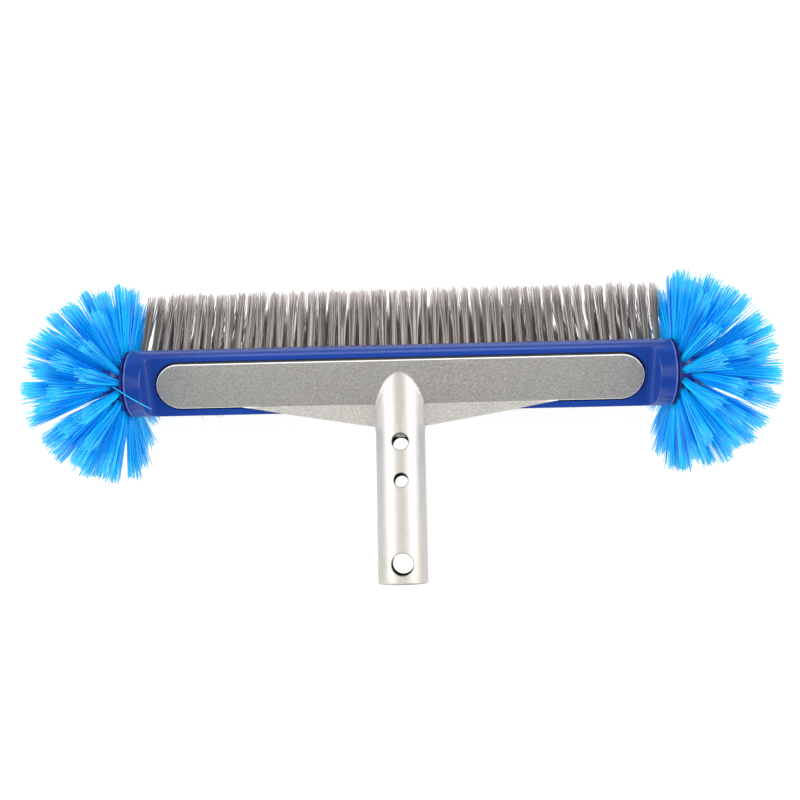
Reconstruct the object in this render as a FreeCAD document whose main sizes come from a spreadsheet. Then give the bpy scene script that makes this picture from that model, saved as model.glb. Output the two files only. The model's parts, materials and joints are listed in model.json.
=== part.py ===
import FreeCAD, Part
import math
import os

import Sketcher

# Pool wall brush: a plastic body with rows of nylon tufts, a cast handle bracket on its flat back, and a
# round head of tufts on each end. Millimetres. Every piece is designed in one frame: X runs along the
# body, the origin is on the body's axis at mid length, and +Z points out of the flat back. The whole
# brush is then turned about X and lifted, so that it lies on its tufts and on the far end of its tube, with
# the floor at Z = 0 and the origin under the middle of its box.

SIZES = {
    # body
    "body_length": 311.8,
    "body_radius": 19.4,
    "rim_round": 0.8,
    "flat_height": 8.0,
    "wall_top_inset": 9.7,
    "wall_foot_inset": 11.1,
    "wall_fillet": 5.0,
    "back_round": 0.7,
    "pocket_depth": 3.0,
    "pocket_gap": 1.2,
    "socket_radius": 8.0,
    "socket_depth": 30.0,
    # handle bracket
    "bar_length": 278.5,
    "bar_width": 26.4,
    "bar_shift": 0.6,
    "bar_face": 9.75,
    "bar_round": 0.7,
    "tube_radius": 14.25,
    "tube_bore_radius": 11.5,
    "tube_angle": 27.2,
    "tube_start_y": -25.3,
    "tube_run_in": 30.0,
    "collar_step": 0.25,
    "collar_end": 2.0,
    "collar_taper": 3.0,
    "tube_length": 90.4,
    "tube_bore_start": 6.0,
    "tube_round": 0.8,
    "arch_fillet": 2.0,
    "gusset_reach": 91.0,
    "gusset_height": 15.2,
    "gusset_thickness": 4.0,
    "gusset_face": 9.4,
    "casting_clearance": 0.1,
    "boss_radius": 4.0,
    "boss_height": 5.0,
    "boss_well_radius": 4.4,
    "boss_pilot_radius": 1.55,
    # screws
    "screw_radius": 1.5,
    "screw_hole_radius": 1.7,
    "screw_head_radius": 2.75,
    "screw_head_height": 2.1,
    "screw_seat_radius": 2.9,
    "screw_seat_depth": 2.6,
    "screw_length": 22.0,
    "hub_screw_length": 13.0,
    "hub_screw_inset": 10.0,
    # tufts of the rows
    "tuft_pitch": 6.2,
    "tuft_hole_radius": 2.05,
    "tuft_hole_depth": 7.0,
    "tuft_root_radius": 1.9,
    "tuft_tip_radius": 2.9,
    "tuft_reach": 61.7,
    "first_row_angle": 42.2,
    "row_step_angle": 15.27,
    "anchor_width": 3.7,
    "anchor_height": 1.5,
    "anchor_thickness": 0.5,
    # round heads
    "hub_radius": 17.5,
    "hub_centre": 3.6,
    "hub_neck_radius": 17.4,
    "hub_flange_radius": 19.2,
    "hub_flange_start": 0.6,
    "hub_flange_width": 1.0,
    "hub_spigot_radius": 7.9,
    "hub_spigot_length": 28.0,
    "head_hole_depth": 5.0,
    "head_root_radius": 1.8,
    "head_tip_radius": 4.2,
    "head_reach": 56.5,
    "head_ring_step": 19.0,
}

ROW_TUFTS = 50
ROW_COUNT = 6
SCREW_ROW = 3
SCREW_PITCHES = (-18, -7, 7, 18)
HEAD_RING_TUFTS = (18, 17, 14, 9, 4)
CROSS_HOLES = (
    ("near_cross_hole", 11.1, 4.7),
    ("middle_cross_hole", 32.8, 3.9),
    ("end_cross_hole", 79.4, 6.1),
)
SLACK = 1.0

V = FreeCAD.Vector
X_AXIS = V(1, 0, 0)
Y_AXIS = V(0, 1, 0)
Z_AXIS = V(0, 0, 1)

doc = FreeCAD.newDocument("pool_wall_brush")
sheet = doc.addObject("Spreadsheet::Sheet", "Sizes")
for line, (alias, value) in enumerate(SIZES.items(), start=1):
    sheet.set(f"A{line}", alias)
    sheet.set(f"B{line}", str(value))
    sheet.setAlias(f"B{line}", alias)
for line, (label, along, radius) in enumerate(CROSS_HOLES, start=1):
    sheet.set(f"D{line}", label)
    sheet.set(f"E{line}", str(along))
    sheet.setAlias(f"E{line}", f"{label}_place")
    sheet.set(f"F{line}", str(radius))
    sheet.setAlias(f"F{line}", f"{label}_radius")
doc.recompute()


def size(alias):
    """The value of one cell of the sheet, in mm or degrees."""
    return float(sheet.get(alias))


def add(kind, name, placement=None, **bound):
    """Adds an object whose properties are bound to expressions of the sheet."""
    item = doc.addObject(kind, name)
    if placement is not None:
        item.Placement = placement
    for prop, expression in bound.items():
        item.setExpression(prop.replace("__", "."), expression)
    return item


def fuse(name, *items):
    """Joins objects into one solid."""
    item = doc.addObject("Part::MultiFuse", name)
    item.Shapes = list(items)
    item.Refine = True
    return item


def cut(name, base, tool):
    """Takes one object out of another."""
    item = doc.addObject("Part::Cut", name)
    item.Base = base
    item.Tool = tool
    item.Refine = True
    return item


def common(name, first, second):
    """Keeps what two objects share."""
    item = doc.addObject("Part::MultiCommon", name)
    item.Shapes = [first, second]
    item.Refine = True
    return item


def gather(name, shapes):
    """One object that holds separate solids."""
    item = doc.addObject("Part::Feature", name)
    item.Shape = Part.makeCompound(shapes)
    return item


def round_edges(name, base, radius, wanted):
    """Rounds the edges of base for which wanted(edge) is true."""
    doc.recompute()
    chosen = [n for n, edge in enumerate(base.Shape.Edges, start=1) if wanted(edge)]
    item = doc.addObject("Part::Fillet", name)
    item.Base = base
    item.Edges = [(n, size(radius), size(radius)) for n in chosen]
    doc.recompute()
    return item


def moved(shape, placement):
    """A copy of a shape at a placement."""
    copy = shape.copy()
    copy.Placement = placement.multiply(copy.Placement)
    return copy


def turn(axis, degrees):
    return FreeCAD.Rotation(axis, degrees)


def near(value, target, within=0.05):
    return abs(value - target) < within


# Directions of the handle tube in the design frame.
angle = math.radians(size("tube_angle"))
tube_way = V(0, -math.cos(angle), math.sin(angle))
tube_start = V(0, size("tube_start_y"), size("bar_face"))
ALONG_TUBE = FreeCAD.Rotation(Z_AXIS, tube_way)


def tube_place(along):
    """The placement whose Z axis is the tube's axis, at a distance along the tube."""
    return FreeCAD.Placement(tube_start + tube_way * along, ALONG_TUBE)


# Body ----------------------------------------------------------------------------------------------


def stadium(name, length, width, bottom, top):
    """A bar with half-round ends, between two heights, shifted to the bracket's centre line."""
    middle = add(
        "Part::Box",
        f"{name}_middle",
        Length=f"{length} - {width}",
        Width=width,
        Height=f"{top} - ({bottom})",
        Placement__Base__x=f"-({length} - {width}) / 2",
        Placement__Base__y=f"Sizes.bar_shift - {width} / 2",
        Placement__Base__z=bottom,
    )
    ends = [
        add(
            "Part::Cylinder",
            f"{name}_{side}_end",
            Radius=f"{width} / 2",
            Height=f"{top} - ({bottom})",
            Placement__Base__x=f"{sign} * ({length} - {width}) / 2",
            Placement__Base__y="Sizes.bar_shift",
            Placement__Base__z=bottom,
        )
        for side, sign in (("left", -1), ("right", 1))
    ]
    return fuse(name, middle, *ends)


def back_cut():
    """The space over the flat back: a long prism whose end walls lean outwards, with rounded feet."""
    sketch = doc.addObject("Sketcher::SketchObject", "back_outline")
    sketch.Placement = FreeCAD.Placement(V(0, 0, 0), turn(X_AXIS, 90))
    foot = size("body_length") / 2 - size("wall_foot_inset")
    top = size("body_length") / 2 - size("wall_top_inset")
    low = size("flat_height")
    high = size("body_radius") + SLACK
    corners = [V(-foot, low, 0), V(foot, low, 0), V(top, high, 0), V(-top, high, 0)]
    for here, there in zip(corners, corners[1:] + corners[:1]):
        sketch.addGeometry(Part.LineSegment(here, there))
    for side in range(4):
        sketch.addConstraint(Sketcher.Constraint("Coincident", side, 2, (side + 1) % 4, 1))
    sketch.addConstraint(Sketcher.Constraint("Horizontal", 0))
    sketch.addConstraint(Sketcher.Constraint("Horizontal", 2))
    bindings = (
        (("DistanceX", -1, 1, 0, 2, foot), "Sizes.body_length / 2 - Sizes.wall_foot_inset"),
        (("DistanceX", 0, 1, -1, 1, foot), "Sizes.body_length / 2 - Sizes.wall_foot_inset"),
        (("DistanceX", -1, 1, 1, 2, top), "Sizes.body_length / 2 - Sizes.wall_top_inset"),
        (("DistanceX", 2, 2, -1, 1, top), "Sizes.body_length / 2 - Sizes.wall_top_inset"),
        (("DistanceY", -1, 1, 0, 2, low), "Sizes.flat_height"),
        (("DistanceY", -1, 1, 1, 2, high), f"Sizes.body_radius + {SLACK}"),
    )
    for arguments, expression in bindings:
        number = sketch.addConstraint(Sketcher.Constraint(*arguments))
        sketch.setExpression(f"Constraints[{number}]", expression)
    prism = doc.addObject("Part::Extrusion", "back_prism")
    prism.Base = sketch
    prism.DirMode = "Custom"
    prism.Dir = Y_AXIS
    prism.Solid = True
    prism.Symmetric = True
    prism.setExpression("LengthFwd", f"2 * (Sizes.body_radius + {SLACK})")
    doc.recompute()
    low_edge = size("flat_height")

    def foot_edge(edge):
        ends = [vertex.Point for vertex in edge.Vertexes]
        return all(near(point.z, low_edge) for point in ends) and near(ends[0].x, ends[-1].x)

    return round_edges("back_space", prism, "wall_fillet", foot_edge)


def row_angle(row):
    """The lean of a row of tufts from straight down, towards +Y. The fan leans a little away from the tube."""
    return size("first_row_angle") - row * size("row_step_angle")


def row_places(row):
    """Where the tufts of one row stand along the body. Every second row is set half a pitch over."""
    staggered = row % 2 == 1
    count = ROW_TUFTS - 1 if staggered else ROW_TUFTS
    centre = (count - 1) / 2
    pitches = [number - centre for number in range(count)]
    if row == SCREW_ROW:
        pitches = [place for place in pitches if round(place) not in SCREW_PITCHES]
    return [place * size("tuft_pitch") for place in pitches]


def row_placement(row, x, depth_radius):
    """The placement whose Z axis runs along a tuft, at a radius from the body's axis."""
    rotation = turn(X_AXIS, 180 + row_angle(row))
    out = rotation.multVec(Z_AXIS)
    return FreeCAD.Placement(V(x, 0, 0) + out * depth_radius, rotation)


def make_body():
    """The plastic body, with its pocket, end sockets, screw holes and tuft holes."""
    barrel = add(
        "Part::Cylinder",
        "barrel",
        FreeCAD.Placement(V(0, 0, 0), turn(Y_AXIS, 90)),
        Radius="Sizes.body_radius",
        Height="Sizes.body_length",
        Placement__Base__x="-Sizes.body_length / 2",
    )
    radius = size("body_radius")
    face = size("body_length") / 2

    def end_rim(edge):
        return near(edge.Length, 2 * math.pi * radius)

    def back_edge(edge):
        box = edge.BoundBox
        return max(abs(box.XMin), abs(box.XMax)) < face - size("rim_round") - SLACK

    rounded = round_edges("barrel_rounded", barrel, "rim_round", end_rim)
    flatted = round_edges("barrel_flatted", cut("barrel_cut", rounded, back_cut()), "back_round", back_edge)
    pocket = stadium(
        "bar_pocket",
        "(Sizes.bar_length + 2 * Sizes.pocket_gap)",
        "(Sizes.bar_width + 2 * Sizes.pocket_gap)",
        "Sizes.flat_height - Sizes.pocket_depth",
        f"Sizes.flat_height + {SLACK}",
    )
    pocketed = cut("barrel_pocketed", flatted, pocket)

    holes = []
    socket = Part.makeCylinder(size("socket_radius"), size("socket_depth") + SLACK)
    for end in (-1, 1):
        mouth = V(end * (size("body_length") / 2 + SLACK), 0, 0)
        holes.append(moved(socket, FreeCAD.Placement(mouth, turn(Y_AXIS, -90 * end))))
        holes += screw_hole(hub_screw_placement(end), size("hub_screw_length"))
    floor = size("flat_height") - size("pocket_depth")
    well = Part.makeCylinder(size("boss_well_radius"), size("boss_height") + SLACK)
    well_bottom = floor - size("boss_height") - SLACK / 2
    for place in SCREW_PITCHES:
        x = place * size("tuft_pitch")
        holes += screw_hole(bar_screw_placement(x), size("screw_length"))
        holes.append(moved(well, FreeCAD.Placement(V(x, screw_line(), well_bottom), FreeCAD.Rotation())))
    depth = size("tuft_hole_depth") + SLACK
    tuft_hole = Part.makeCylinder(size("tuft_hole_radius"), depth)
    bottom = radius - size("tuft_hole_depth")
    for row in range(ROW_COUNT):
        holes += [moved(tuft_hole, row_placement(row, x, bottom)) for x in row_places(row)]
    return cut("body_solid", pocketed, gather("body_holes", holes))


# Screws --------------------------------------------------------------------------------------------


def screw_shape(length):
    """A pan-head screw with a cross recess. Its seat is at the origin, and its shank runs along +Z."""
    radius = size("screw_head_radius")
    height = size("screw_head_height")
    head = Part.makeCylinder(radius, height, V(0, 0, -height))
    top_edge = [edge for edge in head.Edges if near(edge.BoundBox.ZMax, -height)]
    head = head.makeFillet(height / 2, top_edge)
    slot_width = radius / 4
    slot_length = radius * 1.2
    for long_way, wide_way in ((slot_length, slot_width), (slot_width, slot_length)):
        corner = V(-long_way / 2, -wide_way / 2, -height)
        head = head.cut(Part.makeBox(long_way, wide_way, height / 2, corner))
    shank_radius = size("screw_radius")
    shank = Part.makeCylinder(shank_radius, length - shank_radius)
    point = Part.makeCone(shank_radius, shank_radius / 4, shank_radius, V(0, 0, length - shank_radius))
    return head.fuse([shank, point]).removeSplitter()


def screw_hole(placement, length):
    """The tools that cut a screw's seat and its clearance hole."""
    seat_depth = size("screw_seat_depth")
    seat = Part.makeCylinder(size("screw_seat_radius"), seat_depth + SLACK, V(0, 0, -seat_depth - SLACK))
    clear = Part.makeCylinder(size("screw_hole_radius"), length + SLACK)
    return [moved(seat, placement), moved(clear, placement)]


def screw_line():
    """How far the line of the bracket screws, which stand in a row of tufts, is from the body's middle."""
    return size("body_radius") * math.sin(math.radians(row_angle(SCREW_ROW)))


def bar_screw_placement(x):
    """Where a bracket screw sits: in its row of tufts, running up into the bar."""
    seat = -size("body_radius") + size("screw_seat_depth")
    return FreeCAD.Placement(V(x, screw_line(), seat), FreeCAD.Rotation())


def hub_screw_placement(end):
    """Where a hub's retaining screw sits: on the side of the body under the tube, running inwards."""
    x = end * (size("body_length") / 2 - size("hub_screw_inset"))
    return FreeCAD.Placement(V(x, -size("body_radius") + size("screw_seat_depth"), 0), turn(X_AXIS, -90))


# Handle bracket ------------------------------------------------------------------------------------


def bracket_gusset():
    """A flat triangle each side of the tube, from the bar's lower edge down along the tube."""
    start = V(0, size("bar_shift") - size("bar_width") / 2, size("gusset_face"))
    inside = start - tube_way * 1.5
    reach = size("gusset_reach")
    far = start + tube_way * size("gusset_height")
    left = X_AXIS * -reach
    right = X_AXIS * reach
    corners = [inside + left, inside + right, start + right, far, start + left, inside + left]
    outline = Part.makePolygon(corners)
    inwards = -(X_AXIS.cross(tube_way))
    if inwards.z > 0:
        inwards = -inwards
    return Part.Face(outline).extrude(inwards * size("gusset_thickness"))


def make_bracket():
    """The casting: bar, tube, gussets and screw bosses in one piece."""
    straight = add(
        "Part::Cylinder",
        "tube_outside",
        tube_place(-size("tube_run_in")),
        Radius="Sizes.tube_radius",
        Height="Sizes.tube_length + Sizes.tube_run_in",
    )
    collar = add(
        "Part::Cylinder",
        "tube_collar",
        tube_place(-size("tube_run_in")),
        Radius="Sizes.tube_radius + Sizes.collar_step",
        Height="Sizes.tube_run_in + Sizes.collar_end",
    )
    taper = add(
        "Part::Cone",
        "tube_taper",
        tube_place(size("collar_end")),
        Radius1="Sizes.tube_radius + Sizes.collar_step",
        Radius2="Sizes.tube_radius",
        Height="Sizes.collar_taper",
    )
    tube = fuse("tube_blank", straight, collar, taper)
    slab = add(
        "Part::Box",
        "arch_slab",
        Length="4 * Sizes.tube_radius",
        Width="2 * Sizes.bar_width",
        Height="2 * Sizes.tube_radius",
        Placement__Base__x="-2 * Sizes.tube_radius",
        Placement__Base__y="Sizes.bar_shift - Sizes.bar_width / 2 - 1",
        Placement__Base__z="Sizes.bar_face - 2 * Sizes.tube_radius",
    )
    over_bar = add(
        "Part::Box",
        "over_bar",
        Length="4 * Sizes.tube_radius",
        Width="2 * Sizes.bar_width",
        Height="4 * Sizes.tube_radius",
        Placement__Base__x="-2 * Sizes.tube_radius",
        Placement__Base__y="Sizes.bar_shift - Sizes.bar_width / 2 - 1",
        Placement__Base__z="Sizes.bar_face - 2 * Sizes.tube_radius",
    )
    arch = fuse("arch", slab, common("arch_tube", tube, over_bar))
    face = size("bar_face")

    def arch_edge(edge):
        box = edge.BoundBox
        return near(box.ZMin, face) and near(box.ZMax, face) and edge.Curve.TypeId != "Part::GeomLine"

    filleted = round_edges("arch_filleted", arch, "arch_fillet", arch_edge)
    column = add(
        "Part::Box",
        "arch_column",
        Length="4 * Sizes.tube_radius",
        Width="Sizes.bar_width",
        Height="2 * Sizes.tube_radius",
        Placement__Base__x="-2 * Sizes.tube_radius",
        Placement__Base__y="Sizes.bar_shift - Sizes.bar_width / 2",
        Placement__Base__z="Sizes.bar_face - 1",
    )
    arch_top = common("arch_top", filleted, column)

    bar = stadium(
        "bar_blank",
        "Sizes.bar_length",
        "Sizes.bar_width",
        "Sizes.flat_height - Sizes.pocket_depth",
        "Sizes.bar_face",
    )
    bar_rounded = round_edges("bar_rounded", bar, "bar_round", lambda edge: near(edge.BoundBox.ZMin, face))

    gussets = doc.addObject("Part::Feature", "gussets")
    gussets.Shape = bracket_gusset()
    outside = fuse("outside_body", tube, gussets)
    clearance = size("casting_clearance")
    flat = size("flat_height") + clearance
    reach = size("body_radius") + 5 * clearance
    room = Part.makeCylinder(reach, size("body_length"), V(-size("body_length") / 2, 0, 0), X_AXIS)
    above = Part.makeBox(size("body_length"), 2 * reach, reach, V(-size("body_length") / 2, -reach, flat))
    body_room = doc.addObject("Part::Feature", "body_room")
    body_room.Shape = room.cut(above)
    trimmed = cut("outside_trimmed", outside, body_room)
    below = add(
        "Part::Box",
        "under_bar",
        Length="Sizes.bar_length",
        Width="Sizes.bar_width + 2 * Sizes.body_radius",
        Height="2 * Sizes.body_radius",
        Placement__Base__x="-Sizes.bar_length / 2",
        Placement__Base__y="Sizes.bar_shift - Sizes.bar_width / 2",
        Placement__Base__z="Sizes.bar_face - 1 - 2 * Sizes.body_radius",
    )
    lower_trimmed = cut("lower_trimmed", trimmed, below)

    bosses = [
        add(
            "Part::Cylinder",
            f"boss_{number}",
            FreeCAD.Placement(V(place * size("tuft_pitch"), screw_line(), 0), FreeCAD.Rotation()),
            Radius="Sizes.boss_radius",
            Height="Sizes.boss_height + 1",
            Placement__Base__z="Sizes.flat_height - Sizes.pocket_depth - Sizes.boss_height",
        )
        for number, place in enumerate(SCREW_PITCHES, start=1)
    ]
    casting = fuse("casting_solid", bar_rounded, arch_top, lower_trimmed, *bosses)

    holes = []
    bore = Part.makeCylinder(size("tube_bore_radius"), size("tube_length") - size("tube_bore_start") + SLACK)
    holes.append(moved(bore, tube_place(size("tube_bore_start"))))
    across = FreeCAD.Rotation(Z_AXIS, tube_way.cross(X_AXIS))
    through = 2 * size("tube_radius")
    for name, _, _ in CROSS_HOLES:
        drill = Part.makeCylinder(size(f"{name}_radius"), 2 * through, V(0, 0, -through))
        centre = tube_start + tube_way * size(f"{name}_place")
        holes.append(moved(drill, FreeCAD.Placement(centre, across)))
    pilot_bottom = size("flat_height") - size("pocket_depth") - size("boss_height") - SLACK
    pilot_top = size("bar_face") - 2.0
    for place in SCREW_PITCHES:
        foot = V(place * size("tuft_pitch"), screw_line(), pilot_bottom)
        holes.append(Part.makeCylinder(size("boss_pilot_radius"), pilot_top - pilot_bottom, foot))
    drilled = cut("casting_drilled", casting, gather("casting_holes", holes))
    mouth = tube_start + tube_way * size("tube_length")

    def mouth_edge(edge):
        if edge.Curve.TypeId != "Part::GeomCircle":
            return False
        return edge.CenterOfMass.distanceToPoint(mouth) < 1

    return round_edges("casting_rounded", drilled, "tube_round", mouth_edge)


# Round heads ---------------------------------------------------------------------------------------


def ring_directions(ring):
    """The directions of the tufts of one ring of a head. Every second ring is set half a step round."""
    polar = math.radians(90 - ring * size("head_ring_step"))
    count = HEAD_RING_TUFTS[ring]
    for number in range(count):
        around = 2 * math.pi * (number + 0.5 * (ring % 2)) / count
        yield V(math.cos(polar), math.sin(polar) * math.sin(around), math.sin(polar) * math.cos(around))


def head_centre(end):
    return V(end * (size("body_length") / 2 + size("hub_centre")), 0, 0)


def head_placement(end, direction, radius):
    """The placement whose Z axis runs along a tuft of a head."""
    out = V(end * direction.x, direction.y, direction.z)
    return FreeCAD.Placement(head_centre(end) + out * radius, FreeCAD.Rotation(Z_AXIS, out))


def make_hub(end, side):
    """The domed end piece: spigot, neck, thin flange and a half ball with tuft holes."""
    face = size("body_length") / 2
    outwards = turn(Y_AXIS, 90 * end)
    start = FreeCAD.Placement(V(end * face, 0, 0), outwards)
    spigot = add(
        "Part::Cylinder",
        f"{side}_spigot",
        start,
        Radius="Sizes.hub_spigot_radius",
        Height="Sizes.hub_spigot_length + Sizes.hub_flange_start",
        Placement__Base__x=f"{end} * (Sizes.body_length / 2 - Sizes.hub_spigot_length)",
    )
    neck = add(
        "Part::Cylinder",
        f"{side}_neck",
        start,
        Radius="Sizes.hub_neck_radius",
        Height="Sizes.hub_centre - Sizes.hub_flange_start / 6",
        Placement__Base__x=f"{end} * (Sizes.body_length / 2 + Sizes.hub_flange_start / 6)",
    )
    flange = add(
        "Part::Cylinder",
        f"{side}_flange",
        start,
        Radius="Sizes.hub_flange_radius",
        Height="Sizes.hub_flange_width",
        Placement__Base__x=f"{end} * (Sizes.body_length / 2 + Sizes.hub_flange_start)",
    )
    dome = add(
        "Part::Sphere",
        f"{side}_dome",
        start,
        Radius="Sizes.hub_radius",
        Angle1="0",
        Placement__Base__x=f"{end} * (Sizes.body_length / 2 + Sizes.hub_centre)",
    )
    blank = fuse(f"{side}_hub_blank", spigot, neck, flange, dome)
    bottom = size("hub_radius") - size("head_hole_depth")
    drill = Part.makeCylinder(size("tuft_hole_radius"), size("head_hole_depth") + 2 * SLACK)
    holes = []
    for ring in range(len(HEAD_RING_TUFTS)):
        holes += [moved(drill, head_placement(end, way, bottom)) for way in ring_directions(ring)]
    holes.append(moved(Part.makeCylinder(size("boss_pilot_radius"), size("hub_screw_length") + SLACK),
                       hub_screw_placement(end)))
    return cut(f"{side}_hub_solid", blank, gather(f"{side}_hub_holes", holes))


# Tufts and anchors ---------------------------------------------------------------------------------


def tuft_shape(bottom, kind, reach):
    """One tuft as a closed solid, from its anchor to its tip, widening outwards."""
    height = size(reach) - bottom - size("anchor_height")
    return Part.makeCone(size(f"{kind}_root_radius"), size(f"{kind}_tip_radius"), height)


def anchor_shape():
    """The flat staple under one tuft."""
    corner = V(-size("anchor_width") / 2, -size("anchor_thickness") / 2, 0)
    return Part.makeBox(size("anchor_width"), size("anchor_thickness"), size("anchor_height"), corner)


def make_rows():
    """Every row's tufts and anchors, as (label, object) pairs."""
    bottom = size("body_radius") - size("tuft_hole_depth")
    tuft = tuft_shape(bottom, "tuft", "tuft_reach")
    anchor = anchor_shape()
    pairs = []
    for row in range(ROW_COUNT):
        places = row_places(row)
        root = bottom + size("anchor_height")
        tufts = [moved(tuft, row_placement(row, x, root)) for x in places]
        anchors = [moved(anchor, row_placement(row, x, bottom)) for x in places]
        pairs.append((f"tuft_row_{row + 1}", gather(f"row_{row + 1}_tufts", tufts)))
        pairs.append((f"row_{row + 1}_anchors", gather(f"row_{row + 1}_staples", anchors)))
    return pairs


def make_heads():
    """The hubs, their screws, tufts and anchors, as (label, object) pairs."""
    bottom = size("hub_radius") - size("head_hole_depth")
    tuft = tuft_shape(bottom, "head", "head_reach")
    anchor = anchor_shape()
    pairs = []
    for side, end in (("left", -1), ("right", 1)):
        pairs.append((f"{side}_hub", make_hub(end, side)))
        screw = moved(screw_shape(size("hub_screw_length")), hub_screw_placement(end))
        pairs.append((f"{side}_hub_screw", gather(f"{side}_retaining_screw", [screw])))
        anchors = []
        for ring in range(len(HEAD_RING_TUFTS)):
            root = bottom + size("anchor_height")
            ways = list(ring_directions(ring))
            tufts = [moved(tuft, head_placement(end, way, root)) for way in ways]
            anchors += [moved(anchor, head_placement(end, way, bottom)) for way in ways]
            pairs.append((f"{side}_head_ring_{ring + 1}", gather(f"{side}_ring_{ring + 1}_tufts", tufts)))
        pairs.append((f"{side}_head_anchors", gather(f"{side}_head_staples", anchors)))
    return pairs


def make_bracket_screws():
    """The four screws that hold the bracket, as one group."""
    screw = screw_shape(size("screw_length"))
    places = [place * size("tuft_pitch") for place in SCREW_PITCHES]
    return gather("bar_screws", [moved(screw, bar_screw_placement(x)) for x in places])


# Rest position -------------------------------------------------------------------------------------


def tip_points(axis_angle, reach, radius):
    """The two sides of a tuft's tip, seen along X, where the angle is from straight down towards +Y."""
    lean = math.radians(axis_angle)
    along = V(0, math.sin(lean), -math.cos(lean))
    across = V(0, math.cos(lean), math.sin(lean))
    return [along * reach + across * radius * sign for sign in (-1, 1)]


def rest_placement(shapes):
    """Turns the brush about X until it lies on its tufts and on its tube's far rim, and stands it there."""
    tips = tip_points(row_angle(ROW_COUNT - 1), size("tuft_reach"), size("tuft_tip_radius"))
    for way in ring_directions(0):
        tips += tip_points(math.degrees(math.atan2(way.y, -way.z)), size("head_reach"), size("head_tip_radius"))
    below = V(0, -math.sin(angle), -math.cos(angle))
    tube_rim = tube_start + tube_way * size("tube_length") + below * size("tube_radius")
    lines = [tip - tube_rim for tip in tips]
    lean = max(math.degrees(math.atan2(-line.z, line.y)) for line in lines)
    rotation = turn(X_AXIS, lean)
    turned = Part.makeCompound([moved(shape, FreeCAD.Placement(V(0, 0, 0), rotation)) for shape in shapes])
    box = turned.optimalBoundingBox(True, False)
    centre = V((box.XMin + box.XMax) / 2, (box.YMin + box.YMax) / 2, box.ZMin)
    return FreeCAD.Placement(-centre, rotation)


def main():
    pieces = [
        ("brush_body", make_body()),
        ("handle_bracket", make_bracket()),
        ("bracket_screws", make_bracket_screws()),
    ]
    pieces += make_rows()
    pieces += make_heads()
    doc.recompute()
    rest = rest_placement([item.Shape for _, item in pieces])
    for label, item in pieces:
        item.Label = label
        item.Placement = rest.multiply(item.Placement)
    doc.recompute()

    for item in doc.Objects:
        if "Invalid" in item.State or "Error" in item.State:
            raise RuntimeError(f"{item.Name} failed: {item.State}")
    os.makedirs("parts", exist_ok=True)
    for label, item in pieces:
        shape = item.Shape
        if shape.isNull() or not shape.isValid() or not shape.Solids:
            raise RuntimeError(f"{label} has no valid solid")
    for label, item in pieces:
        item.Shape.exportStep(f"parts/{label}.step")
        box = item.Shape.BoundBox
        print(f"{label:22} {len(item.Shape.Solids):3} solids {item.Shape.Volume / 1000:9.3f} cm3 "
              f"z {box.ZMin:7.2f} {box.ZMax:7.2f}")
    whole = Part.makeCompound([item.Shape for _, item in pieces]).optimalBoundingBox(True, False)
    print("lean", round(math.degrees(rest.Rotation.Angle), 3), "whole", whole)


main()
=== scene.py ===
import json
import math

import bpy
import numpy as np
from mathutils import Matrix, Vector


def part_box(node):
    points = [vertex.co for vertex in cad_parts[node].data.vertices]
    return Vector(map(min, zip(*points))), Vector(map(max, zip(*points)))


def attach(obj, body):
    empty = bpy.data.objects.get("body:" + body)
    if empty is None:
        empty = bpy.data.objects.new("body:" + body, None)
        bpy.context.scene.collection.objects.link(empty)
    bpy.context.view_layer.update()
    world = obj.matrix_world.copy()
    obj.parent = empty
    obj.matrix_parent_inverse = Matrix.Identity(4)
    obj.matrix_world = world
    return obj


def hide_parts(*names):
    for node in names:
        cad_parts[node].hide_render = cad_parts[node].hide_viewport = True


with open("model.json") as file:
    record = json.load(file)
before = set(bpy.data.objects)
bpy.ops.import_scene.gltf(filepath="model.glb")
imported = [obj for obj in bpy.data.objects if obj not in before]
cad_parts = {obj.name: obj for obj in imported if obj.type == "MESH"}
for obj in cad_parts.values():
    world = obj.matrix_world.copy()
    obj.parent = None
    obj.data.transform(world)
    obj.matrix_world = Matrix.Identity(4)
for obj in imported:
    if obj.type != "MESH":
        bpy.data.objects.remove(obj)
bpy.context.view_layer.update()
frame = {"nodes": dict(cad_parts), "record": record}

# A pool wall brush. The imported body, hubs, casting and screws get their materials here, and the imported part's
# plain tufts give way to tufts of nylon filaments. Lengths are in metres.

MM = 0.001


# Places and directions of the object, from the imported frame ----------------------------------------

# How many degrees the tube rises from the plane of the flat back.
TUBE_ANGLE = 27.2
# The hubs' domes belong to balls of this radius, from whose centres the tufts of the heads stand out.
HUB_RADIUS = 17.5 * MM

MOUNTS = {mount["name"]: mount for mount in frame["record"]["mounts"]}
tube_way = Vector(MOUNTS["pole_sleeve"]["axis"]).normalized()
out_of_flat = Matrix.Rotation(math.radians(TUBE_ANGLE - 90), 3, "X") @ tube_way
up_the_flat = Matrix.Rotation(math.radians(-90), 3, "X") @ out_of_flat

body_low, body_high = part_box("brush_body")
left_hub_low, left_hub_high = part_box("left_hub")
_, right_hub_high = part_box("right_hub")
axis_y = (left_hub_low.y + left_hub_high.y) / 2
axis_z = (left_hub_low.z + left_hub_high.z) / 2
body_centre = Vector(((body_low.x + body_high.x) / 2, axis_y, axis_z))
HEAD_CENTRES = {
    "left": Vector((left_hub_low.x + HUB_RADIUS, axis_y, axis_z)),
    "right": Vector((right_hub_high.x - HUB_RADIUS, axis_y, axis_z)),
}


# Node trees ----------------------------------------------------------------------------------------


def srgb(red, green, blue):
    """A colour given as 0 to 255 on screen, as the linear values that shaders take."""
    parts = [channel / 255 for channel in (red, green, blue)]
    linear = [c / 12.92 if c <= 0.04045 else ((c + 0.055) / 1.055) ** 2.4 for c in parts]
    return (*linear, 1.0)


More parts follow.
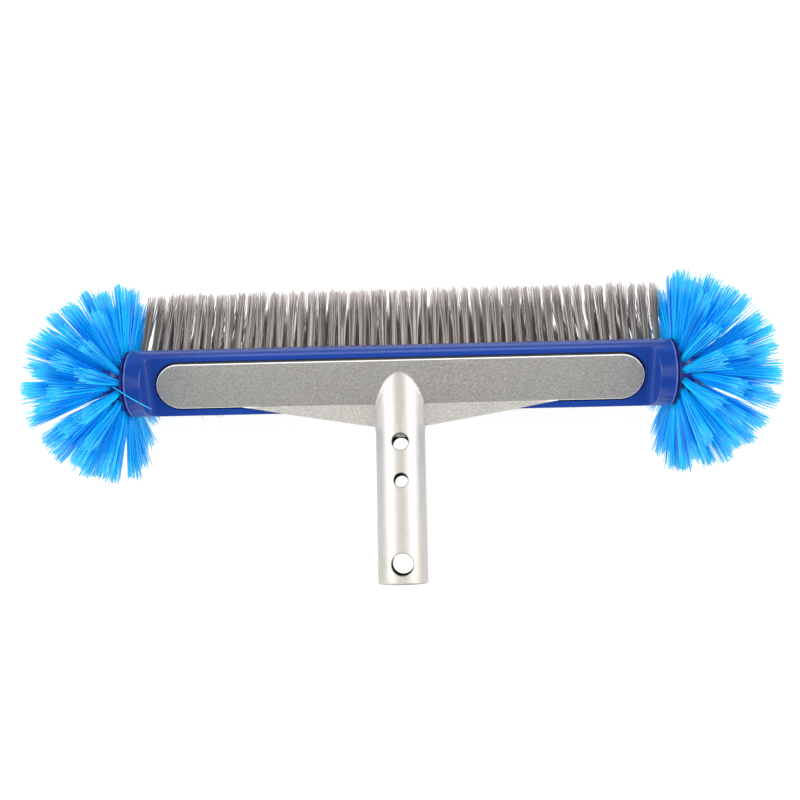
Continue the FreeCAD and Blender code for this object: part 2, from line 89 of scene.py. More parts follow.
class Nodes:
    """A new material's node tree, with short ways to add and join nodes."""

    # Sockets of the mix node that hold colours. It has others of the same names for numbers and vectors.
    MIX_INPUTS = (0, 6, 7)
    MIX_RESULT = 2

    def __init__(self, name):
        self.material = bpy.data.materials.new(name)
        self.material.use_nodes = True
        self.tree = self.material.node_tree
        self.shader = self.tree.nodes["Principled BSDF"]

    def add(self, kind, **settings):
        """A new node of a kind."""
        node = self.tree.nodes.new(kind)
        for key, value in settings.items():
            setattr(node, key, value)
        return node

    def link(self, source, target):
        """Joins an output to an input."""
        self.tree.links.new(source, target)

    def set(self, **values):
        """Sets inputs of the shader, named with underscores for spaces."""
        for key, value in values.items():
            self.shader.inputs[key.replace("_", " ")].default_value = value

    def noise(self, scale, detail=3.0, roughness=0.5):
        """Noise over the object's own coordinates. Scale is in cells per metre."""
        place = self.add("ShaderNodeTexCoord")
        node = self.add("ShaderNodeTexNoise")
        node.inputs["Scale"].default_value = scale
        node.inputs["Detail"].default_value = detail
        node.inputs["Roughness"].default_value = roughness
        self.link(place.outputs["Object"], node.inputs["Vector"])
        return node.outputs["Fac"]

    def ramp(self, factor, *stops):
        """A colour ramp with stops given as (position, colour)."""
        node = self.add("ShaderNodeValToRGB")
        elements = node.color_ramp.elements
        while len(elements) < len(stops):
            elements.new(0.5)
        for element, (position, colour) in zip(elements, stops):
            element.position = position
            element.color = colour
        self.link(factor, node.inputs["Fac"])
        return node.outputs["Color"]

    def span(self, factor, low, high, from_low=0.0, from_high=1.0):
        """The factor, mapped from one range onto another."""
        node = self.add("ShaderNodeMapRange")
        node.inputs["From Min"].default_value = from_low
        node.inputs["From Max"].default_value = from_high
        node.inputs["To Min"].default_value = low
        node.inputs["To Max"].default_value = high
        self.link(factor, node.inputs["Value"])
        return node.outputs["Result"]

    def mix(self, factor, first, second):
        """Two colours mixed. Each value is a socket, or a plain number or colour."""
        node = self.add("ShaderNodeMix", data_type="RGBA")
        for index, value in zip(self.MIX_INPUTS, (factor, first, second)):
            if isinstance(value, bpy.types.NodeSocket):
                self.link(value, node.inputs[index])
            else:
                node.inputs[index].default_value = value
        return node.outputs[self.MIX_RESULT]

    def bump(self, height, distance, base=None):
        """A bump of a height in metres, over a base normal if one is given."""
        node = self.add("ShaderNodeBump")
        node.inputs["Distance"].default_value = distance
        self.link(height, node.inputs["Height"])
        if base is not None:
            self.link(base, node.inputs["Normal"])
        return node.outputs["Normal"]


# Masks that find a place on the object -------------------------------------------------------------

# Places are measured from the middle of the body's axis: heights out of the flat back, and reaches up along
# it. Blends and fades are how gently a mask begins.
# Where shade is painted down in the narrow gap round the bar.
POCKET_HEIGHTS = (4.0 * MM, 7.7 * MM)
POCKET_REACH = (-15.0 * MM, 16.0 * MM)
# Where a highlight is painted on the bar's edge.
RIM_HEIGHTS = (9.05 * MM, 9.66 * MM)
UPPER_RIM = (-11.5 * MM, 14.6 * MM)
LOWER_RIM = (-13.4 * MM, -11.5 * MM)
ARCH_EDGE = (13.35 * MM, 14.0 * MM)
RIM_BLEND = 0.04 * MM
RIM_FADE = 14.0 * MM
# How far to each side of the middle the tube's arch and the gussets run.
ARCH_END = 30.2 * MM
GUSSET_END = 80.0 * MM
# How far from the body's end the painted highlight on its lip begins and stops.
LIP_INNER = 1.3 * MM
LIP_OUTER = 0.7 * MM
LIP_BLEND = 0.2 * MM
# How close to the tube's wall a place counts as on it, and how wide the rim of a cross hole is, where shade is
# painted.
TUBE_SKIN = 0.2 * MM
HOLE_RIM = 0.4 * MM


def offset_from(n, point):
    """Where a place of the object is, seen from a point."""
    place = n.add("ShaderNodeTexCoord")
    offset = n.add("ShaderNodeVectorMath", operation="SUBTRACT")
    offset.inputs[1].default_value = point
    n.link(place.outputs["Object"], offset.inputs[0])
    return offset.outputs["Vector"]


def far_along(n, offset, way):
    """How far an offset goes along a direction."""
    along = n.add("ShaderNodeVectorMath", operation="DOT_PRODUCT")
    along.inputs[1].default_value = way
    n.link(offset, along.inputs[0])
    return along.outputs["Value"]


def far_across(n, offset, way):
    """How far an offset is from a line through its start."""
    square = n.add("ShaderNodeVectorMath", operation="CROSS_PRODUCT")
    square.inputs[1].default_value = way
    n.link(offset, square.inputs[0])
    distance = n.add("ShaderNodeVectorMath", operation="LENGTH")
    n.link(square.outputs["Vector"], distance.inputs[0])
    return distance.outputs["Value"]


def far_sideways(n, offset):
    """How far an offset goes along the body, to either side."""
    distance = n.add("ShaderNodeMath", operation="ABSOLUTE")
    n.link(far_along(n, offset, (1.0, 0.0, 0.0)), distance.inputs[0])
    return distance.outputs["Value"]


def combine(n, masks, operation="MULTIPLY"):
    """Masks multiplied together, or the largest of them."""
    mask = masks[0]
    for other in masks[1:]:
        both = n.add("ShaderNodeMath", operation=operation)
        n.link(mask, both.inputs[0])
        n.link(other, both.inputs[1])
        mask = both.outputs["Value"]
    return mask


def between(n, factor, low, high, blend):
    """A mask that is 1 where the factor lies between two values."""
    above = n.span(factor, 0.0, 1.0, low - blend, low + blend)
    below = n.span(factor, 1.0, 0.0, high - blend, high + blend)
    return combine(n, [above, below])


def end_lip_highlight(n):
    """A mask that is 1 on the thin lip round each end of the body, where a highlight is painted, and 0 elsewhere.
    """
    distance = far_sideways(n, offset_from(n, body_centre))
    end = (body_high.x - body_low.x) / 2
    inner = n.span(distance, 0.0, 1.0, end - LIP_INNER - LIP_BLEND, end - LIP_INNER)
    outer = n.span(distance, 1.0, 0.0, end - LIP_OUTER, end - LIP_OUTER + LIP_BLEND)
    return combine(n, [inner, outer])


def pocket_shade(n):
    """A mask that is 1 down in the narrow gap round the bar, where shade is painted, and 0 elsewhere."""
    offset = offset_from(n, body_centre)
    deep = between(n, far_along(n, offset, out_of_flat), *POCKET_HEIGHTS, LIP_BLEND)
    return combine(n, [deep, between(n, far_along(n, offset, up_the_flat), *POCKET_REACH, LIP_BLEND)])


def inside_tube(n):
    """A mask that is 1 in the tube's bore and on the walls of its cross holes, where shade is painted, and 0
    outside.
    """
    offset = offset_from(n, MOUNTS["clip_bore"]["pos_m"])
    skin = MOUNTS["pole_sleeve"]["dims"]["r_mm"] * MM - TUBE_SKIN
    bore_half = MOUNTS["clip_bore"]["dims"]["length_mm"] * MM / 2
    within = n.span(far_across(n, offset, tube_way), 1.0, 0.0, skin - TUBE_SKIN, skin)
    past_bar = n.span(far_along(n, offset, tube_way), 0.0, 1.0, -bore_half, -bore_half + TUBE_SKIN)
    return combine(n, [within, past_bar])


def on_tube(n):
    """A mask that is 1 on the tube, which is smoother than the bar and painted a little lighter as painted light,
    and 0 on the bar and gussets.
    """
    offset = offset_from(n, MOUNTS["pole_sleeve"]["pos_m"])
    skin = MOUNTS["pole_sleeve"]["dims"]["r_mm"] * MM + 2 * TUBE_SKIN
    return n.span(far_across(n, offset, tube_way), 1.0, 0.0, skin, skin + TUBE_SKIN)


def hole_rim_shade(n):
    """A mask that is 1 on the rims of the tube's cross holes, where shade is painted."""
    masks = []
    for name, mount in MOUNTS.items():
        if name.endswith("button_hole"):
            rim = mount["dims"]["r_mm"] * MM + HOLE_RIM
            distance = far_across(n, offset_from(n, mount["pos_m"]), mount["axis"])
            masks.append(n.span(distance, 1.0, 0.0, rim - RIM_BLEND, rim + RIM_BLEND))
    return combine(n, masks, "MAXIMUM")


def bar_rim_highlight(n):
    """A mask that is 1 where a highlight is painted on the bar's edge and 0 elsewhere. The edge is rounded, and
    the painted highlight runs below only past the gussets. Beside the arch it is sharp, so that a strip of the
    face stands in for it."""
    offset = offset_from(n, body_centre)
    height = far_along(n, offset, out_of_flat)
    reach = far_along(n, offset, up_the_flat)
    sideways = far_sideways(n, offset)
    rounded = between(n, height, *RIM_HEIGHTS, RIM_BLEND)
    upper = between(n, reach, *UPPER_RIM, RIM_BLEND)
    lower = between(n, reach, *LOWER_RIM, RIM_BLEND)
    past_gusset = n.span(sideways, 0.0, 1.0, GUSSET_END, GUSSET_END + RIM_FADE)
    whole = combine(n, [rounded, combine(n, [upper, combine(n, [lower, past_gusset])], "MAXIMUM")])
    by_arch = n.span(sideways, 1.0, 0.0, ARCH_END, ARCH_END + RIM_BLEND)
    on_face = n.span(height, 0.0, 1.0, RIM_HEIGHTS[1], RIM_HEIGHTS[1] + RIM_BLEND)
    flat_edge = combine(n, [between(n, reach, *ARCH_EDGE, RIM_BLEND), by_arch, on_face])
    return combine(n, [whole, flat_edge], "MAXIMUM")


# Materials -----------------------------------------------------------------------------------------

# Painted shade down in the narrow gap round the bar.
POCKET_SHADE = srgb(6, 10, 30)
# A painted highlight on the thin lip round each end of the body.
LIP_HIGHLIGHT = srgb(118, 126, 190)
GRAIN_DARK = srgb(158, 155, 149)
GRAIN_MIDDLE = srgb(197, 194, 188)
GRAIN_LIGHT = srgb(231, 229, 223)
CAST_CLOUD = srgb(184, 182, 177)
CAST_SCUFF = srgb(150, 147, 142)
# The tube's smoother grain, painted a little lighter as painted light.
TUBE_SMOOTH_LIT_TONE = srgb(208, 203, 196)
# The painted highlight on the bar's edge.
RIM_HIGHLIGHT_TONE = srgb(252, 250, 246)
# Painted shade round the rims of the tube's cross holes.
HOLE_RIM_SHADE = srgb(70, 67, 63)
# Painted shade in the tube's bore and on the walls of its cross holes.
BORE_SHADE = srgb(38, 36, 33)
ZINC_DARK = srgb(168, 168, 166)
ZINC_LIGHT = srgb(205, 205, 202)
# The painted highlight on the bar's edge, as a warm white glow.
RIM_HIGHLIGHT_GLOW = (1.0, 0.98, 0.95, 1.0)
RIM_GLINT = 0.4


def moulded_plastic(name, colour, deep, roughness, lip=None):
    """Glossy moulded plastic with faint flow marks, soft sink marks and an uneven gloss. The body's has a
    painted highlight on the thin lip round each end, and painted shade down in the gap round the bar."""
    n = Nodes(name)
    n.set(Roughness=roughness, IOR=1.5)
    flow = n.noise(scale=22, detail=4.0)
    tone = n.mix(n.span(flow, 0.0, 0.55), colour, deep)
    if lip is not None:
        # Paints a highlight on the thin lip round each end.
        tone = n.mix(end_lip_highlight(n), tone, lip)
        # Paints shade down in the narrow gap round the bar.
        tone = n.mix(n.span(pocket_shade(n), 0.0, 0.85), tone, POCKET_SHADE)
    n.link(tone, n.shader.inputs["Base Color"])
    marks = n.noise(scale=90, detail=4.0, roughness=0.55)
    gloss = n.span(marks, roughness - 0.03, roughness + 0.04, from_low=0.3, from_high=0.7)
    n.link(gloss, n.shader.inputs["Roughness"])
    sinks = n.noise(scale=40, detail=2.0)
    n.link(n.bump(sinks, distance=0.06 * MM), n.shader.inputs["Normal"])
    return n.material


def sand_cast_aluminium():
    """Silver cast aluminium with a fine sandy grain, faint cloudiness and a few rubbed scuffs. A highlight that
    glows is painted on the bar's rim, the tube is painted a little lighter, and shade is painted in its bore and
    round its cross holes."""
    n = Nodes("cast_aluminium")
    n.set(IOR=1.5, Emission_Color=RIM_HIGHLIGHT_GLOW)
    rim = bar_rim_highlight(n)
    grain = n.noise(scale=1100, detail=3.0, roughness=0.75)
    cloud = n.noise(scale=45, detail=3.0)
    scuffs = n.span(n.noise(scale=210, detail=6.0, roughness=0.72), 0.0, 0.35, from_low=0.60, from_high=0.72)
    speckle = n.ramp(grain, (0.28, GRAIN_DARK), (0.50, GRAIN_MIDDLE), (0.72, GRAIN_LIGHT))
    tone = n.mix(n.span(cloud, 0.0, 0.3), speckle, CAST_CLOUD)
    tone = n.mix(scuffs, tone, CAST_SCUFF)
    # Smooths the tube's grain and paints it a little lighter, as painted light.
    tone = n.mix(n.span(on_tube(n), 0.0, 0.5), tone, TUBE_SMOOTH_LIT_TONE)
    # Paints a highlight on the bar's edge.
    tone = n.mix(rim, tone, RIM_HIGHLIGHT_TONE)
    # Paints shade round the rims of the tube's cross holes.
    tone = n.mix(n.span(hole_rim_shade(n), 0.0, 0.75), tone, HOLE_RIM_SHADE)
    # Paints shade in the tube's bore and on the walls of its cross holes.
    tone = n.mix(inside_tube(n), tone, BORE_SHADE)
    n.link(tone, n.shader.inputs["Base Color"])
    # Less metal and a glow on the painted highlight of the bar's edge.
    n.link(n.span(rim, 0.82, 0.2), n.shader.inputs["Metallic"])
    n.link(n.span(rim, 0.0, RIM_GLINT), n.shader.inputs["Emission Strength"])
    n.link(n.span(grain, 0.42, 0.60, from_low=0.3, from_high=0.7), n.shader.inputs["Roughness"])
    sand = n.bump(grain, distance=0.07 * MM)
    fine_sand = n.noise(scale=5200, detail=1.0)
    n.link(n.bump(fine_sand, distance=0.03 * MM, base=sand), n.shader.inputs["Normal"])
    return n.material


def zinc_steel():
    """Bright zinc-plated steel of the screws and staples."""
    n = Nodes("zinc_steel")
    n.set(Metallic=1.0, Roughness=0.3)
    tone = n.ramp(n.noise(scale=400, detail=3.0), (0.3, ZINC_DARK), (0.7, ZINC_LIGHT))
    n.link(tone, n.shader.inputs["Base Color"])
    scratches = n.noise(scale=3000, detail=2.0)
    n.link(n.bump(scratches, distance=0.01 * MM), n.shader.inputs["Normal"])
    return n.material


def nylon(name, shades, tip, roughness, glow):
    """Nylon filaments in a range of shades, from dark to light, with tips painted lighter as painted light and a
    faint painted glow that stands in for light passing through them. The strand map's first axis differs from one
    filament to the next, and its second axis runs from root to tip."""
    n = Nodes(name)
    n.set(Roughness=roughness, IOR=1.53, Emission_Strength=glow)
    strand = n.add("ShaderNodeUVMap", uv_map="Strand")
    axes = n.add("ShaderNodeSeparateXYZ")
    n.link(strand.outputs["UV"], axes.inputs["Vector"])
    shade = n.ramp(axes.outputs["X"], *zip(np.linspace(0.0, 1.0, len(shades)), shades))
    # The tips are painted lighter, as painted light.
    near_tip = n.span(axes.outputs["Y"], 0.0, 0.6, from_low=0.72, from_high=1.0)
    tone = n.mix(near_tip, shade, tip)
    n.link(tone, n.shader.inputs["Base Color"])
    # A painted glow in the filament's own tone.
    n.link(tone, n.shader.inputs["Emission Color"])
    return n.material


# The body's plastic, with a painted highlight on its end lips and painted shade round the bar.
BLUE = moulded_plastic("blue_plastic", srgb(34, 72, 162), srgb(27, 62, 148), 0.23, lip=LIP_HIGHLIGHT)
HUB_BLUE = moulded_plastic("hub_blue_plastic", srgb(44, 50, 138), srgb(32, 38, 112), 0.24)
ALUMINIUM = sand_cast_aluminium()
STEEL = zinc_steel()
GREY_NYLON = nylon(
    "grey_nylon",
    shades=(srgb(104, 97, 92), srgb(158, 150, 144), srgb(214, 207, 200)),
    tip=srgb(240, 227, 223),
    roughness=0.34,
    glow=0.01,
)
AZURE_NYLON = nylon(
    "azure_nylon",
    shades=(srgb(0, 116, 224), srgb(0, 182, 254), srgb(14, 212, 255)),
    tip=srgb(70, 220, 255),
    roughness=0.32,
    glow=0.13,
)

NODE_MATERIALS = {
    "brush_body": BLUE,
    "handle_bracket": ALUMINIUM,
    "left_hub": HUB_BLUE,
    "right_hub": HUB_BLUE,
    "bracket_screws": STEEL,
    "left_hub_screw": STEEL,
    "right_hub_screw": STEEL,
    "left_head_anchors": STEEL,
    "right_head_anchors": STEEL,
}
ROWS = sorted(name for name in frame["nodes"] if name.startswith("tuft_row_"))
for number in range(1, len(ROWS) + 1):
    NODE_MATERIALS[f"row_{number}_anchors"] = STEEL


def finish_cad_nodes():
    """Gives each CAD node that stays its material."""
    for name, material in NODE_MATERIALS.items():
        for material_slot in frame["nodes"][name].material_slots:
            material_slot.material = material


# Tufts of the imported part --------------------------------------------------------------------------

# Corners this close to a tuft's nearest or farthest one make up its root or its tip.
END_BAND = 0.3 * MM


def closed_shapes(mesh, points):
    """The corners of each closed shape of a mesh, told apart by what its faces share. Corners that lie on the
    same spot count as one."""
    first_at = {}
    same = [first_at.setdefault(tuple(np.round(point / MM, 3)), index) for index, point in enumerate(points)]
    parent = list(range(len(points)))

    def top(index):
        while parent[index] != index:
            parent[index] = parent[parent[index]]
            index = parent[index]
        return index

    for face in mesh.polygons:
        first = top(same[face.vertices[0]])
        for vertex in face.vertices[1:]:
            parent[top(same[vertex])] = first
            first = top(first)
    shapes = {}
    for index in first_at.values():
        shapes.setdefault(top(index), []).append(index)
    return shapes.values()


def tufts_of(node, centre):
    """The tufts of a CAD node, which run away from the centre, each as (root, direction, length)."""
    mesh = frame["nodes"][node].data
    points = np.array([tuple(vertex.co) for vertex in mesh.vertices])
    found = []
    for corners in closed_shapes(mesh, points):
        shape = points[corners]
        reach = np.linalg.norm(shape - np.array(centre(shape.mean(0))), axis=1)
        root = shape[reach < reach.min() + END_BAND].mean(0)
        tip = shape[reach > reach.max() - END_BAND].mean(0)
        length = np.linalg.norm(tip - root)
        found.append((root, (tip - root) / length, length))
    return sorted(found, key=lambda tuft: tuple(np.round(tuft[0], 5)))


def axis_point(point):
    """The nearest point of the body's axis."""
    return (point[0], axis_y, axis_z)


# Filaments -----------------------------------------------------------------------------------------

# Sides of a filament, which make its closed ends quads like its walls.
SIDES = 4
# Least height of a filament over the floor that the brush lies on.
FLOOR_GAP = 0.05 * MM
# A tuft's filaments fill a disc in even steps of this angle, as seeds fill a sunflower.
GOLDEN_ANGLE = math.pi * (3 - math.sqrt(5))
BEND_POWER = 1.2
# Random shares of a filament's place in the disc, of its spread at the tip and of its thickness.
PLACE_SHARES = (0.85, 1.08)
SPREAD_SHARES = (0.55, 1.25)
THICKNESS_SHARES = (0.85, 1.12)


def frames_across(ways):
    """Two unit vectors square to each of many directions."""
    helper = np.where(np.abs(ways[:, :1]) < 0.8, [[1.0, 0.0, 0.0]], [[0.0, 1.0, 0.0]])
    side = np.cross(ways, helper)
    side /= np.linalg.norm(side, axis=1)[:, None]
    return side, np.cross(ways, side)


def filament_paths(tuft, rng, look, bend):
    """The paths of one tuft's filaments, as an array of filament, step and coordinate. The bend is how far
    the whole tuft is pushed over at its tips."""
    root, way, length = tuft
    count = look["count"]
    steps = np.linspace(0.0, 1.0, look["steps"])
    side, other = (axis[0] for axis in frames_across(way[None, :]))

    # Where each filament is in the disc, at its root and at its tip.
    number = np.arange(count)
    distance = np.sqrt((number + 0.5) / count)
    around = number * GOLDEN_ANGLE + rng.uniform(0, 2 * math.pi)
    distance = distance * rng.uniform(*PLACE_SHARES, count)
    disc = np.stack([np.cos(around) * distance, np.sin(around) * distance], 1)
    near_end = disc * look["root_radius"]
    far_end = disc * look["tip_radius"] * rng.uniform(*SPREAD_SHARES, (count, 1))
    far_end += rng.normal(0, look["stray"], (count, 2))
    loners = rng.random(count) < look["loner_share"]
    far_end[loners] += rng.normal(0, look["loner_stray"], (loners.sum(), 2))
    far_end += rng.normal(0, look["lean"], (1, 2))

    # How it goes from one to the other: held together near the root, then opening and swaying.
    free = np.clip((steps - look["held"]) / (1 - look["held"]), 0, 1)
    opening = free ** look["opening"]
    sway = rng.normal(0, look["sway"], (count, 1, 2)) * (np.sin(free * math.pi) ** 2)[None, :, None]
    across = near_end[:, None, :] + (far_end - near_end)[:, None, :] * opening[None, :, None] + sway

    # How far it gets along the tuft, which is less the more it leans.
    lengths = length * (1 + rng.normal(0, look["uneven"], count))
    lengths = np.minimum(lengths, length * look["longest"])
    spread = far_end[:, :1] * side + far_end[:, 1:] * other + bend
    drop = (spread**2).sum(1) / (4 * length)
    along = steps[None, :] * (lengths - drop)[:, None]
    paths = root + along[..., None] * way
    paths = paths + across[..., :1] * side + across[..., 1:] * other
    return paths + (free**BEND_POWER)[None, :, None] * bend


def tube_points(paths, radius, taper, rng):
    """The corners of square tubes along many paths, ring by ring. None goes below the floor."""
    count, steps, _ = paths.shape
    ways = np.gradient(paths, axis=1)
    ways /= np.linalg.norm(ways, axis=2)[..., None]
    side, other = (axis.reshape(count, steps, 1, 3) for axis in frames_across(ways.reshape(-1, 3)))
    turns = 2 * math.pi * np.arange(SIDES) / SIDES
    thick = radius * rng.uniform(*THICKNESS_SHARES, (count, 1, 1, 1))
    rings = side * np.cos(turns)[:, None] + other * np.sin(turns)[:, None]
    rings = paths[:, :, None, :] + rings * thick * np.array(taper)[None, :, None, None]
    points = rings.reshape(-1, 3)
    points[:, 2] = np.maximum(points[:, 2], FLOOR_GAP)
    return points


def tube_faces(count, steps):
    """The faces of the tubes' walls, then those of their tips and roots, as corner numbers."""
    start = (np.arange(count) * steps * SIDES)[:, None, None]
    step = (np.arange(steps - 1) * SIDES)[None, :, None]
    here = np.arange(SIDES)[None, None, :]
    after = (here + 1) % SIDES
    low = start + step
    walls = np.stack([low + here, low + after, low + after + SIDES, low + here + SIDES], -1).reshape(-1, 4)
    tips = (start[:, 0, :] + (steps - 1) * SIDES) + np.arange(SIDES)[None, :]
    roots = start[:, 0, :] + np.arange(SIDES)[None, ::-1]
    return walls, np.concatenate([tips, roots])


def filament_mesh(name, paths, look, rng, strays=0):
    """One mesh of filaments along many paths, thinned towards their tips and closed there. The strays come
    last, and have the lightest shade."""
    count, steps, _ = paths.shape
    points = tube_points(paths, look["radius"], look["taper"], rng)
    walls, ends = tube_faces(count, steps)
    faces = np.concatenate([walls, ends])
    smooth = np.arange(len(faces)) < len(walls)

    mesh = bpy.data.meshes.new(name)
    mesh.vertices.add(len(points))
    mesh.vertices.foreach_set("co", points.astype(np.float32).ravel())
    mesh.loops.add(faces.size)
    mesh.loops.foreach_set("vertex_index", faces.astype(np.int32).ravel())
    mesh.polygons.add(len(faces))
    mesh.polygons.foreach_set("loop_start", np.arange(0, faces.size, SIDES, dtype=np.int32))
    mesh.update(calc_edges=True)
    mesh.polygons.foreach_set("use_smooth", smooth)

    shades = rng.random(count)
    shades[count - strays:] = 1.0
    shade = np.repeat(shades, steps * SIDES)
    along = np.tile(np.repeat(np.linspace(0, 1, steps), SIDES), count)
    strand = np.stack([shade, along], 1)[faces.ravel()]
    layer = mesh.uv_layers.new(name="Strand")
    layer.data.foreach_set("uv", strand.astype(np.float32).ravel())
    return mesh


# Rows and heads ------------------------------------------------------------------------------------

# How a tuft looks: how many filaments it has, their radius, their steps and thinning from root to tip, the
# tuft's radius at its root and tip, how far filaments stray, what share are loners and how far these stray,
# how far the tuft leans, what share of its length is held together, how it opens, how filaments sway, how
# uneven their lengths are, and how long the longest may be.
ROW_LOOK = {
    "count": 40,
    "radius": 0.28 * MM,
    "steps": 6,
    "taper": (1.0, 1.0, 1.0, 1.0, 0.85, 0.42),
    "root_radius": 1.8 * MM,
    "tip_radius": 3.3 * MM,
    "stray": 0.3 * MM,
    "loner_share": 0.2,
    "loner_stray": 1.4 * MM,
    "lean": 0.5 * MM,
    "held": 0.25,
    "opening": 1.15,
    "sway": 0.05 * MM,
    "uneven": 0.026,
    "longest": 1.03,
}
# The rows behind the first one are more ragged.
BACK_ROW_LOOK = {
    **ROW_LOOK,
    "tip_radius": 3.9 * MM,
    "loner_share": 0.3,
    "lean": 1.3 * MM,
    "held": 0.15,
}
HEAD_LOOK = {
    "count": 44,
    "radius": 0.36 * MM,
    "steps": 5,
    "taper": (1.0, 1.0, 1.0, 0.9, 0.55),
    "root_radius": 1.8 * MM,
    "tip_radius": 4.9 * MM,
    "stray": 0.35 * MM,
    "loner_share": 0.06,
    "loner_stray": 2.6 * MM,
    "lean": 1.5 * MM,
    "held": 0.13,
    "opening": 1.02,
    "sway": 0.06 * MM,
    "uneven": 0.036,
    "longest": 1.045,
}
# The rows' right end is splayed by this much, from here along the body over this run.
END_SPLAY = 2.6 * MM
SPLAY_START = 100 * MM
SPLAY_RUN = 45 * MM
# A head's tufts that point out of the flat back lean outwards by this much, less so in the outer rings.
OUTWARD_LEAN = 6.0 * MM
LEAN_BY_RING = (1.0, 0.35, 0.0, 0.0, 0.0)
LEAN_SHARES = (0.7, 1.25)
# Single filaments that lie astray, through places given in millimetres from the middle of the body's axis:
# along the body, up the flat back and out of it.
STRAY_STRANDS = {"left_head_ring_1": [((-161.0, 5.0, 19.6), (-151.0, -2.0, 20.4), (-140.5, -9.0, 19.8))]}


def row_bend(tuft, _rng):
    """How a row's tufts are bent by use: only those at the right end, which are splayed outwards."""
    root, _, _ = tuft
    amount = END_SPLAY * np.clip((root[0] - SPLAY_START) / SPLAY_RUN, 0, 1)
    return np.array([amount, 0.0, 0.0])


def head_bend(ring, end):
    """How a head's tufts are bent: those beside the body that point out of its flat back lean outwards."""

    def bend(tuft, rng):
        _, way, _ = tuft
        facing = max(0.0, float(np.dot(way, out_of_flat)))
        amount = OUTWARD_LEAN * facing * LEAN_BY_RING[ring - 1] * rng.uniform(*LEAN_SHARES)
        return np.array([end * amount, 0.0, 0.0])

    return bend


def stray_path(places, steps):
    """The path of a single filament through some places."""
    axes = np.array([(1.0, 0.0, 0.0), tuple(up_the_flat), tuple(out_of_flat)])
    through = np.array(places) * MM @ axes + np.array(tuple(body_centre))
    along = np.linspace(0, len(places) - 1, steps)
    path = [np.interp(along, np.arange(len(places)), through[:, axis]) for axis in range(3)]
    return np.stack(path, 1)[None]


def brush_tufts(name, node, centre, look, bend, material, seed):
    """Replaces a CAD node's plain tufts with tufts of filaments."""
    rng = np.random.default_rng(seed)
    paths = [filament_paths(tuft, rng, look, bend(tuft, rng)) for tuft in tufts_of(node, centre)]
    strays = [stray_path(places, look["steps"]) for places in STRAY_STRANDS.get(node, [])]
    mesh = filament_mesh(name, np.concatenate(paths + strays), look, rng, len(strays))
    mesh.materials.append(material)
    piece = bpy.data.objects.new(name, mesh)
    bpy.context.scene.collection.objects.link(piece)
    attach(piece, "root")
    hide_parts(node)


def make_bristles():
    """The grey rows, and the azure rings of each head."""
    for number, node in enumerate(ROWS, start=1):
        name = f"grey_bristles_row_{number}"
        look = ROW_LOOK if number == 1 else BACK_ROW_LOOK
        brush_tufts(name, node, axis_point, look, row_bend, GREY_NYLON, seed=number)
    for side, centre in HEAD_CENTRES.items():
        end = -1 if side == "left" else 1
        for ring in range(1, len(LEAN_BY_RING) + 1):
            name = f"{side}_azure_bristles_{ring}"
            node = f"{side}_head_ring_{ring}"
            bend = head_bend(ring, end)
            brush_tufts(name, node, lambda _: centre, HEAD_LOOK, bend, AZURE_NYLON, seed=10 * ring + 2 + end)


# Stage, light and camera ---------------------------------------------------------------------------

FLOOR_HALF = 6.0
FLOOR_TONE = (0.2, 0.2, 0.2, 1.0)
FLOOR_GLOW = 0.93
# The surroundings are dim low in front, where this direction points, and bright from square to it onwards.
DIM_WAY = Vector((0.0, -0.97, 0.24))
DIM_FULLY = 0.85
WORLD_BRIGHT = 1.05
WORLD_DIM = 0.09
# Each soft box as its place, size and power in watts: over the camera, behind the bristles and to each side.
SOFT_BOXES = {
    "front_box": (body_centre + Vector((0.0, -0.62, 1.0)), (1.0, 0.7), 3.7),
    "back_box": (body_centre + Vector((0.0, 0.87, 0.49)), (0.76, 0.4), 3.2),
    "left_box": (Vector((-1.1, -0.2, 0.9)), (0.8, 1.0), 16.0),
    "right_box": (Vector((1.1, -0.2, 0.9)), (0.8, 1.0), 16.0),
}
# The camera's place from the middle of the body's axis, the reach of the point that it aims at, its roll in
# degrees, and its lens and sensor in millimetres.
CAMERA_ACROSS = 0.0114
CAMERA_UP = 0.1565
CAMERA_OUT = 0.4921
AIM_UP = -0.0136
CAMERA_ROLL = 1.3
CAMERA_LENS = 40.0
CAMERA_SENSOR = 36.0
NEAREST = 0.01
FARTHEST = 20.0


def make_stage():
    """A plain pale floor."""
    mesh = bpy.data.meshes.new("floor")
    corners = [(-1, -1), (1, -1), (1, 1), (-1, 1)]
    mesh.from_pydata([(x * FLOOR_HALF, y * FLOOR_HALF, 0) for x, y in corners], [], [(0, 1, 2, 3)])
    floor = bpy.data.objects.new("floor", mesh)
    bpy.context.scene.collection.objects.link(floor)
    n = Nodes("pale_floor")
    n.set(Base_Color=FLOOR_TONE, Roughness=0.9, Specular_IOR_Level=0.0)
    n.set(Emission_Color=(1, 1, 1, 1), Emission_Strength=FLOOR_GLOW)
    mesh.materials.append(n.material)


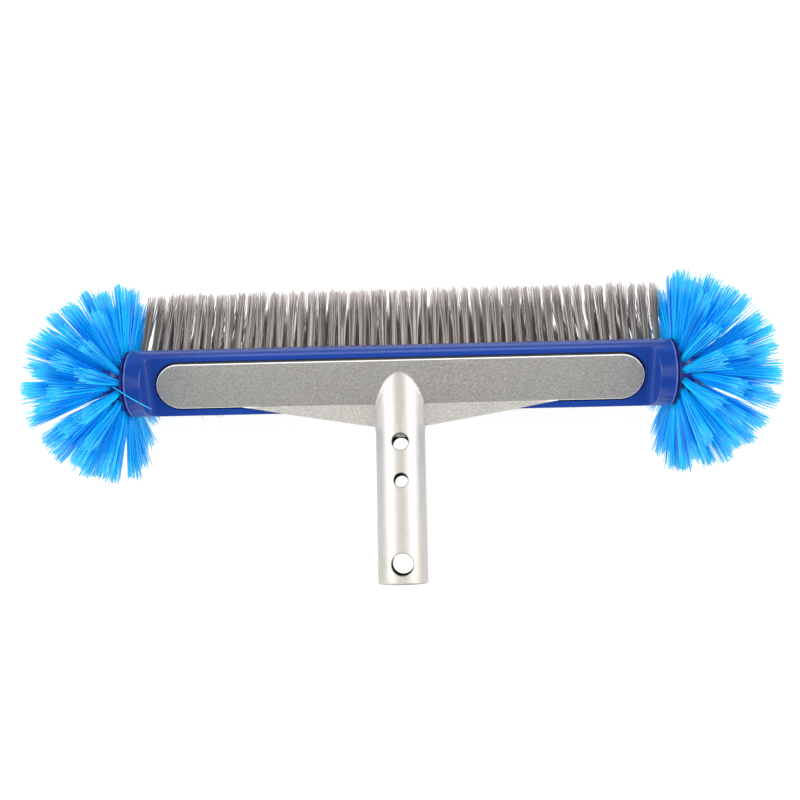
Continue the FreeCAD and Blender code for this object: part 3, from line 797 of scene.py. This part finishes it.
def soft_box(name, place, size, power):
    """A soft box that is aimed at the brush."""
    data = bpy.data.lights.new(name, "AREA")
    data.shape = "RECTANGLE"
    data.size, data.size_y = size
    data.energy = power
    lamp = bpy.data.objects.new(name, data)
    bpy.context.scene.collection.objects.link(lamp)
    lamp.location = place
    lamp.rotation_mode = "QUATERNION"
    lamp.rotation_quaternion = (body_centre - place).to_track_quat("-Z", "Y")


def make_light():
    """Bright surroundings that are dim low in front, and the soft boxes."""
    world = bpy.data.worlds.new("studio")
    bpy.context.scene.world = world
    world.use_nodes = True
    tree = world.node_tree
    place = tree.nodes.new("ShaderNodeTexCoord")
    towards_dim = tree.nodes.new("ShaderNodeVectorMath")
    towards_dim.operation = "DOT_PRODUCT"
    towards_dim.inputs[1].default_value = DIM_WAY
    strength = tree.nodes.new("ShaderNodeMapRange")
    strength.inputs["From Min"].default_value = 0.0
    strength.inputs["From Max"].default_value = DIM_FULLY
    strength.inputs["To Min"].default_value = WORLD_BRIGHT
    strength.inputs["To Max"].default_value = WORLD_DIM
    tree.links.new(place.outputs["Generated"], towards_dim.inputs[0])
    tree.links.new(towards_dim.outputs["Value"], strength.inputs["Value"])
    tree.links.new(strength.outputs["Result"], tree.nodes["Background"].inputs["Strength"])
    for name, (box_place, size, power) in SOFT_BOXES.items():
        soft_box(name, box_place, size, power)


def make_camera():
    """The camera, which looks down at the flat back, from over its upper edge."""
    right = Vector((1, 0, 0))
    place = body_centre + right * CAMERA_ACROSS + up_the_flat * CAMERA_UP + out_of_flat * CAMERA_OUT
    back = (place - body_centre - up_the_flat * AIM_UP).normalized()
    right = (right - back * right.dot(back)).normalized()
    up = back.cross(right)
    data = bpy.data.cameras.new("camera")
    data.lens = CAMERA_LENS
    data.sensor_width = CAMERA_SENSOR
    data.clip_start = NEAREST
    data.clip_end = FARTHEST
    camera = bpy.data.objects.new("camera", data)
    bpy.context.scene.collection.objects.link(camera)
    turned = Matrix((right, up, back)).transposed() @ Matrix.Rotation(math.radians(-CAMERA_ROLL), 3, "Z")
    camera.matrix_world = Matrix.Translation(place) @ turned.to_4x4()
    bpy.context.scene.camera = camera


finish_cad_nodes()
make_bristles()
make_stage()
make_light()
make_camera()
bpy.context.scene.view_settings.view_transform = "Standard"
